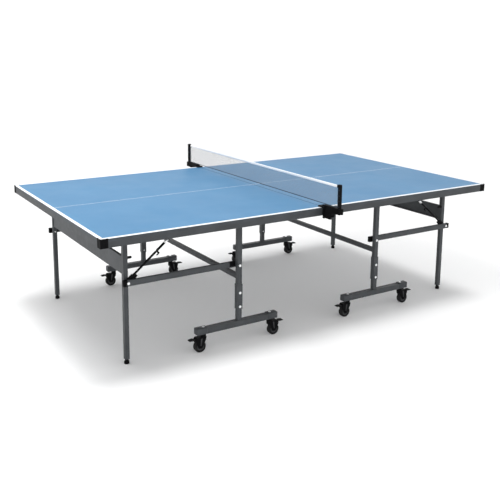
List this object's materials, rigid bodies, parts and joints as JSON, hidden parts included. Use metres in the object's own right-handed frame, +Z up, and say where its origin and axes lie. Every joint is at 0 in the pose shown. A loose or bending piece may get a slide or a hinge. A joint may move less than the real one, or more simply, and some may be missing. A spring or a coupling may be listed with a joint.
{
  "type": "table tennis table",
  "caption": "Blue table-tennis table in folding halves on wheeled trolleys, with a clamp-on net, steel aprons, square end legs, link bars and lock struts.",
  "frame": {"origin": "on the floor under the middle of the net", "axes": "+X along the length of the table towards the right half, +Y across the table away from the viewer's side, +Z up"},
  "size_m": [2.74, 1.836, 0.9125],
  "materials": {
    "blue_board": "painted fibreboard, satin blue with white lines",
    "dark_steel": "dark grey powder coat",
    "black_plastic": "moulded black plastic",
    "black_steel": "black powder coat",
    "bright_steel": "zinc plated",
    "tyre_rubber": "solid black tyre",
    "net_mesh": "knotted nylon net",
    "white_tape": "woven white tape"
  },
  "bodies": {
    "left_trolley": {"left_uprights": "dark_steel", "left_foot_beams": "dark_steel", "left_tie_tube": "dark_steel", "left_trolley_bolts": "bright_steel"},
    "left_half": {"left_top": "blue_board", "left_frame": "dark_steel", "left_corner_caps": "black_plastic", "left_hinge_bolts": "bright_steel"},
    "left_leg_frame": {"left_legs": "dark_steel", "left_leg_panel": "dark_steel", "left_leg_bolts": "bright_steel"},
    "left_strut_pair": {"left_struts": "black_steel"},
    "left_link_pair": {"left_links": "dark_steel"},
    "left_near_foot": {"left_foot_near": "black_plastic"},
    "left_far_foot": {"left_foot_far": "black_plastic"},
    "left_caster_1": {"left_fork_1": "black_plastic"},
    "left_roller_1": {"left_wheel_1": "tyre_rubber"},
    "left_brake_1": {"left_pedal_1": "black_plastic"},
    "left_caster_2": {"left_fork_2": "black_plastic"},
    "left_roller_2": {"left_wheel_2": "tyre_rubber"},
    "left_brake_2": {"left_pedal_2": "black_plastic"},
    "left_caster_3": {"left_fork_3": "black_plastic"},
    "left_roller_3": {"left_wheel_3": "tyre_rubber"},
    "left_brake_3": {"left_pedal_3": "black_plastic"},
    "left_caster_4": {"left_fork_4": "black_plastic"},
    "left_roller_4": {"left_wheel_4": "tyre_rubber"},
    "left_brake_4": {"left_pedal_4": "black_plastic"},
    "right_trolley": {"right_uprights": "dark_steel", "right_foot_beams": "dark_steel", "right_tie_tube": "dark_steel", "right_trolley_bolts": "bright_steel"},
    "right_half": {"right_top": "blue_board", "right_frame": "dark_steel", "right_corner_caps": "black_plastic", "right_hinge_bolts": "bright_steel"},
    "right_leg_frame": {"right_legs": "dark_steel", "right_leg_panel": "dark_steel", "right_leg_bolts": "bright_steel"},
    "right_strut_pair": {"right_struts": "black_steel"},
    "right_link_pair": {"right_links": "dark_steel"},
    "right_near_foot": {"right_foot_near": "black_plastic"},
    "right_far_foot": {"right_foot_far": "black_plastic"},
    "right_caster_1": {"right_fork_1": "black_plastic"},
    "right_roller_1": {"right_wheel_1": "tyre_rubber"},
    "right_brake_1": {"right_pedal_1": "black_plastic"},
    "right_caster_2": {"right_fork_2": "black_plastic"},
    "right_roller_2": {"right_wheel_2": "tyre_rubber"},
    "right_brake_2": {"right_pedal_2": "black_plastic"},
    "right_caster_3": {"right_fork_3": "black_plastic"},
    "right_roller_3": {"right_wheel_3": "tyre_rubber"},
    "right_brake_3": {"right_pedal_3": "black_plastic"},
    "right_caster_4": {"right_fork_4": "black_plastic"},
    "right_roller_4": {"right_wheel_4": "tyre_rubber"},
    "right_brake_4": {"right_pedal_4": "black_plastic"},
    "net_set": {"net_posts": "black_steel", "net_clamps": "black_plastic", "net": "net_mesh", "net_tape": "white_tape"},
    "near_jaw": {"jaw_near": "black_plastic"},
    "far_jaw": {"jaw_far": "black_plastic"}
  },
  "joints": [
    {"name": "left_fold", "type": "hinge", "parent": "left_trolley", "child": "left_half", "pos_m": [-0.51, 0, 0.7], "axis": [0, 1, 0], "range_deg": [0, 90]},
    {"name": "right_fold", "type": "hinge", "parent": "right_trolley", "child": "right_half", "pos_m": [0.51, 0, 0.7], "axis": [0, -1, 0], "range_deg": [0, 90]},
    {"name": "left_leg_hinge", "type": "hinge", "parent": "left_half", "child": "left_leg_frame", "pos_m": [-1.17, 0, 0.7], "axis": [0, 1, 0], "range_deg": [-91, 0]},
    {"name": "left_link_swing", "type": "hinge", "parent": "left_trolley", "child": "left_link_pair", "pos_m": [-0.51, 0, 0.462], "axis": [0, 1, 0], "range_deg": [0, 91]},
    {"name": "left_strut_swing", "type": "hinge", "parent": "left_leg_frame", "child": "left_strut_pair", "pos_m": [-1.17, 0, 0.462], "axis": [0, 1, 0], "range_deg": [0, 129]},
    {"name": "right_leg_hinge", "type": "hinge", "parent": "right_half", "child": "right_leg_frame", "pos_m": [1.17, 0, 0.7], "axis": [0, -1, 0], "range_deg": [-91, 0]},
    {"name": "right_link_swing", "type": "hinge", "parent": "right_trolley", "child": "right_link_pair", "pos_m": [0.51, 0, 0.462], "axis": [0, -1, 0], "range_deg": [0, 91]},
    {"name": "right_strut_swing", "type": "hinge", "parent": "right_leg_frame", "child": "right_strut_pair", "pos_m": [1.17, 0, 0.462], "axis": [0, -1, 0], "range_deg": [0, 129]},
    {"name": "halves_apart", "type": "slide", "parent": "left_trolley", "child": "right_trolley", "axis": [1, 0, 0], "range_m": [0, 0.8]},
    {"name": "net_lift", "type": "slide", "parent": "left_trolley", "child": "net_set", "axis": [0, 0, 1], "range_m": [0, 0.3]},
    {"name": "near_jaw_swing", "type": "hinge", "parent": "net_set", "child": "near_jaw", "pos_m": [0, -0.779, 0.705], "axis": [1, 0, 0], "range_deg": [0, 180]},
    {"name": "far_jaw_swing", "type": "hinge", "parent": "net_set", "child": "far_jaw", "pos_m": [0, 0.779, 0.705], "axis": [-1, 0, 0], "range_deg": [0, 180]},
    {"name": "left_near_foot_turn", "type": "hinge", "parent": "left_leg_frame", "child": "left_near_foot", "pos_m": [-1.17, -0.58, 0], "axis": [0, 0, 1], "continuous": true},
    {"name": "left_far_foot_turn", "type": "hinge", "parent": "left_leg_frame", "child": "left_far_foot", "pos_m": [-1.17, 0.58, 0], "axis": [0, 0, 1], "continuous": true},
    {"name": "right_near_foot_turn", "type": "hinge", "parent": "right_leg_frame", "child": "right_near_foot", "pos_m": [1.17, -0.58, 0], "axis": [0, 0, 1], "continuous": true},
    {"name": "right_far_foot_turn", "type": "hinge", "parent": "right_leg_frame", "child": "right_far_foot", "pos_m": [1.17, 0.58, 0], "axis": [0, 0, 1], "continuous": true},
    {"name": "left_swivel_1", "type": "hinge", "parent": "left_trolley", "child": "left_caster_1", "pos_m": [-0.74, -0.65, 0.09], "axis": [0, 0, 1], "continuous": true},
    {"name": "left_wheel_spin_1", "type": "hinge", "parent": "left_caster_1", "child": "left_roller_1", "pos_m": [-0.764, -0.65, 0.034], "axis": [0, 1, 0], "continuous": true},
    {"name": "left_brake_press_1", "type": "hinge", "parent": "left_caster_1", "child": "left_brake_1", "pos_m": [-0.784, -0.65, 0.072], "axis": [0, -1, 0], "range_deg": [0, 10]},
    {"name": "right_swivel_1", "type": "hinge", "parent": "right_trolley", "child": "right_caster_1", "pos_m": [0.74, 0.65, 0.09], "axis": [0, 0, 1], "continuous": true},
    {"name": "right_wheel_spin_1", "type": "hinge", "parent": "right_caster_1", "child": "right_roller_1", "pos_m": [0.764, 0.65, 0.034], "axis": [0, 1, 0], "continuous": true},
    {"name": "right_brake_press_1", "type": "hinge", "parent": "right_caster_1", "child": "right_brake_1", "pos_m": [0.784, 0.65, 0.072], "axis": [0, 1, 0], "range_deg": [0, 10]},
    {"name": "left_swivel_2", "type": "hinge", "parent": "left_trolley", "child": "left_caster_2", "pos_m": [-0.296, -0.65, 0.09], "axis": [0, 0, 1], "continuous": true},
    {"name": "left_wheel_spin_2", "type": "hinge", "parent": "left_caster_2", "child": "left_roller_2", "pos_m": [-0.272, -0.65, 0.034], "axis": [0, 1, 0], "continuous": true},
    {"name": "left_brake_press_2", "type": "hinge", "parent": "left_caster_2", "child": "left_brake_2", "pos_m": [-0.252, -0.65, 0.072], "axis": [0, 1, 0], "range_deg": [0, 10]},
    {"name": "right_swivel_2", "type": "hinge", "parent": "right_trolley", "child": "right_caster_2", "pos_m": [0.296, 0.65, 0.09], "axis": [0, 0, 1], "continuous": true},
    {"name": "right_wheel_spin_2", "type": "hinge", "parent": "right_caster_2", "child": "right_roller_2", "pos_m": [0.272, 0.65, 0.034], "axis": [0, 1, 0], "continuous": true},
    {"name": "right_brake_press_2", "type": "hinge", "parent": "right_caster_2", "child": "right_brake_2", "pos_m": [0.252, 0.65, 0.072], "axis": [0, -1, 0], "range_deg": [0, 10]},
    {"name": "left_swivel_3", "type": "hinge", "parent": "left_trolley", "child": "left_caster_3", "pos_m": [-0.74, 0.65, 0.09], "axis": [0, 0, 1], "continuous": true},
    {"name": "left_wheel_spin_3", "type": "hinge", "parent": "left_caster_3", "child": "left_roller_3", "pos_m": [-0.764, 0.65, 0.034], "axis": [0, 1, 0], "continuous": true},
    {"name": "left_brake_press_3", "type": "hinge", "parent": "left_caster_3", "child": "left_brake_3", "pos_m": [-0.784, 0.65, 0.072], "axis": [0, -1, 0], "range_deg": [0, 10]},
    {"name": "right_swivel_3", "type": "hinge", "parent": "right_trolley", "child": "right_caster_3", "pos_m": [0.74, -0.65, 0.09], "axis": [0, 0, 1], "continuous": true},
    {"name": "right_wheel_spin_3", "type": "hinge", "parent": "right_caster_3", "child": "right_roller_3", "pos_m": [0.764, -0.65, 0.034], "axis": [0, 1, 0], "continuous": true},
    {"name": "right_brake_press_3", "type": "hinge", "parent": "right_caster_3", "child": "right_brake_3", "pos_m": [0.784, -0.65, 0.072], "axis": [0, 1, 0], "range_deg": [0, 10]},
    {"name": "left_swivel_4", "type": "hinge", "parent": "left_trolley", "child": "left_caster_4", "pos_m": [-0.296, 0.65, 0.09], "axis": [0, 0, 1], "continuous": true},
    {"name": "left_wheel_spin_4", "type": "hinge", "parent": "left_caster_4", "child": "left_roller_4", "pos_m": [-0.272, 0.65, 0.034], "axis": [0, 1, 0], "continuous": true},
    {"name": "left_brake_press_4", "type": "hinge", "parent": "left_caster_4", "child": "left_brake_4", "pos_m": [-0.252, 0.65, 0.072], "axis": [0, 1, 0], "range_deg": [0, 10]},
    {"name": "right_swivel_4", "type": "hinge", "parent": "right_trolley", "child": "right_caster_4", "pos_m": [0.296, -0.65, 0.09], "axis": [0, 0, 1], "continuous": true},
    {"name": "right_wheel_spin_4", "type": "hinge", "parent": "right_caster_4", "child": "right_roller_4", "pos_m": [0.272, -0.65, 0.034], "axis": [0, 1, 0], "continuous": true},
    {"name": "right_brake_press_4", "type": "hinge", "parent": "right_caster_4", "child": "right_brake_4", "pos_m": [0.252, -0.65, 0.072], "axis": [0, -1, 0], "range_deg": [0, 10]}
  ],
  "couplings": [
    {"joint": "left_leg_hinge", "follows": "left_fold", "ratio": -1},
    {"joint": "left_link_swing", "follows": "left_fold", "ratio": 1},
    {"joint": "left_strut_swing", "follows": "left_fold", "ratio": 1.4187},
    {"joint": "right_leg_hinge", "follows": "right_fold", "ratio": -1},
    {"joint": "right_link_swing", "follows": "right_fold", "ratio": 1},
    {"joint": "right_strut_swing", "follows": "right_fold", "ratio": 1.4187}
  ]
}
